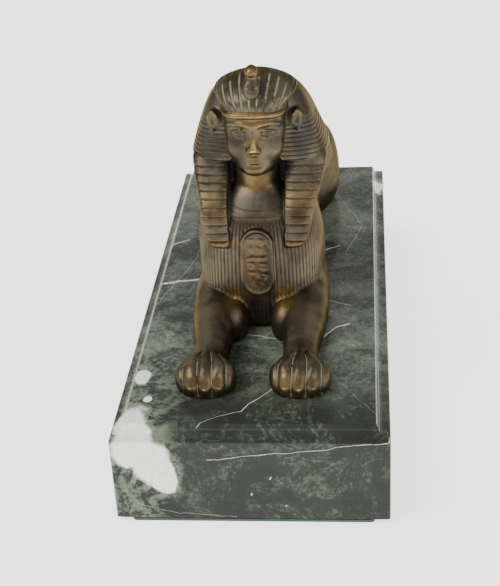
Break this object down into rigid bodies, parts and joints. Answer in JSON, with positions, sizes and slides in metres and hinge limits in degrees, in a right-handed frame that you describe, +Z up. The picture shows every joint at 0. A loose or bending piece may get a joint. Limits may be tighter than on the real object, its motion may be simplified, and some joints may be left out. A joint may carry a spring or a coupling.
{
  "type": "sphinx statue",
  "caption": "reclining sphinx with a striped headcloth, cast in one piece, on a rectangular marble plinth with a cove-edged raised panel and a felt pad underneath",
  "frame": {"origin": "centre of the plinth's footprint, on the underside of the felt pad", "axes": "+Z up, -Y the way the sphinx looks, +X its left side; the plinth's long side runs along Y"},
  "size_m": [0.11, 0.257, 0.1592],
  "materials": {
    "bronze": "dark brown patinated bronze, golden where handled, pale green in the grooves",
    "marble": "polished dark green veined marble with pale cloudy patches",
    "felt": "green baize"
  },
  "bodies": {
    "root": {"sphinx_figure": "bronze", "marble_plinth": "marble", "felt_pad": "felt"}
  },
  "joints": []
}
